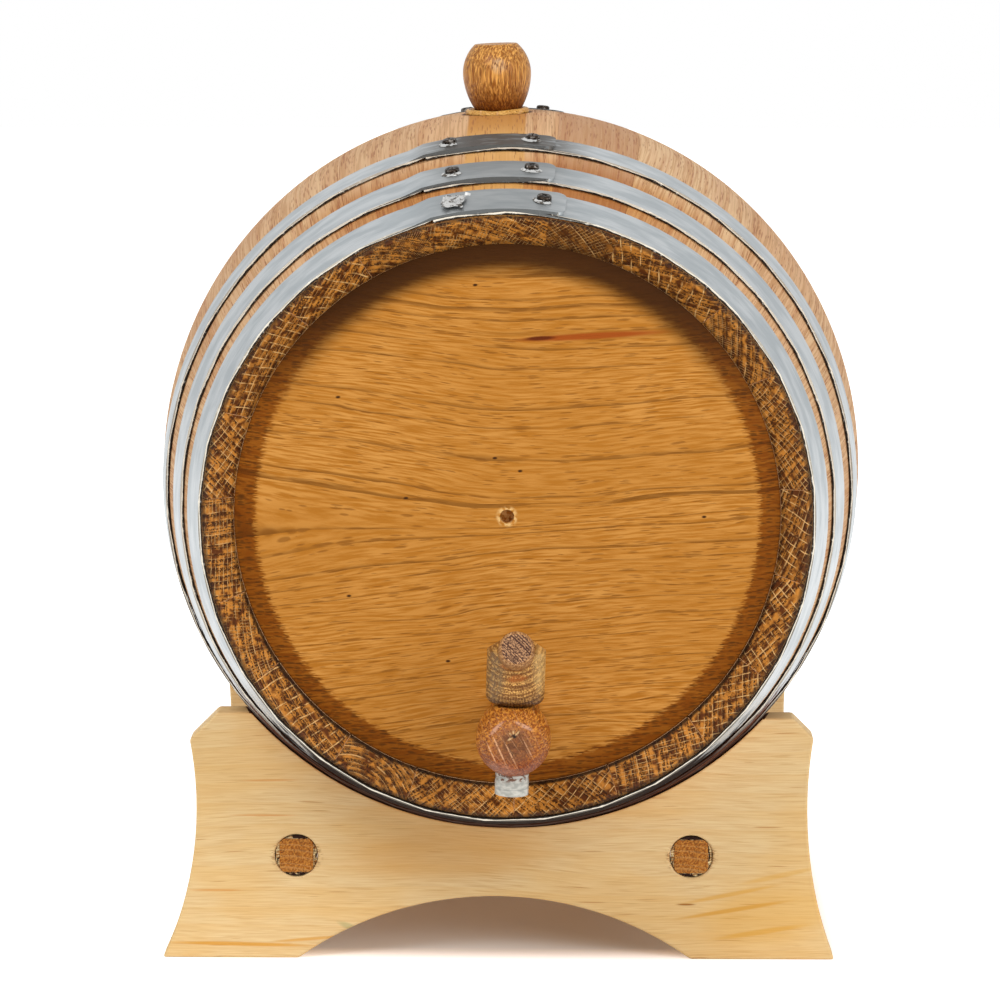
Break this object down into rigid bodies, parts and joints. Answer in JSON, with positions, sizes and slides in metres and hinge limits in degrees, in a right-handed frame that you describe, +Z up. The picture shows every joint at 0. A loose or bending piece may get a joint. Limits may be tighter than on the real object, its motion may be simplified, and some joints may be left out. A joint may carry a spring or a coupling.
{
  "type": "oak cask liquor dispenser",
  "caption": "Small oak cask with a turned wooden tap and a pull-out bung, lying in the sawn cradles of a two-board pine stand.",
  "frame": {"origin": "on the floor, in the middle of the whole object's footprint", "axes": "+Z up, -Y towards the tap and the person who pours, +X to that person's right"},
  "size_m": [0.254, 0.3388, 0.3206],
  "materials": {
    "stave_oak": "sawn and sanded oak, dry",
    "head_oak": "planed oak, oiled",
    "hoop_steel": "galvanised strap",
    "screw_steel": "dark zinc",
    "turned_oak": "turned oak, oiled",
    "stem_plastic": "pale moulded plastic",
    "stand_pine": "planed pine, bare",
    "rail_hardwood": "sawn brown hardwood"
  },
  "bodies": {
    "stand": {"front_board": "stand_pine", "rear_board": "stand_pine", "left_rail": "rail_hardwood", "right_rail": "rail_hardwood"},
    "cask": {"bung_stave": "stave_oak", "stave_02": "stave_oak", "stave_03": "stave_oak", "stave_04": "stave_oak", "stave_05": "stave_oak", "stave_06": "stave_oak", "stave_07": "stave_oak", "stave_08": "stave_oak", "stave_09": "stave_oak", "stave_10": "stave_oak", "stave_11": "stave_oak", "stave_12": "stave_oak", "stave_13": "stave_oak", "stave_14": "stave_oak", "stave_15": "stave_oak", "stave_16": "stave_oak", "stave_17": "stave_oak", "stave_18": "stave_oak", "stave_19": "stave_oak", "front_head": "head_oak", "rear_head": "head_oak", "front_head_hoop": "hoop_steel", "front_quarter_hoop": "hoop_steel", "front_bilge_hoop": "hoop_steel", "rear_head_hoop": "hoop_steel", "rear_quarter_hoop": "hoop_steel", "rear_bilge_hoop": "hoop_steel", "hoop_screws": "screw_steel", "tap_body": "turned_oak"},
    "bung": {"bung": "turned_oak"},
    "tap_key": {"key_head": "turned_oak", "key_peg": "turned_oak", "key_stem": "stem_plastic"}
  },
  "joints": [
    {"name": "cask_lift", "type": "slide", "parent": "stand", "child": "cask", "axis": [0, 0, 1], "range_m": [0, 0.06]},
    {"name": "bung_pull", "type": "slide", "parent": "cask", "child": "bung", "axis": [-0.0384, 0, 0.9993], "range_m": [0, 0.04]},
    {"name": "tap_key_turn", "type": "hinge", "parent": "cask", "child": "tap_key", "pos_m": [0.0026, -0.14965, 0.10105], "axis": [0.0349, 0, 0.9994], "continuous": true}
  ]
}
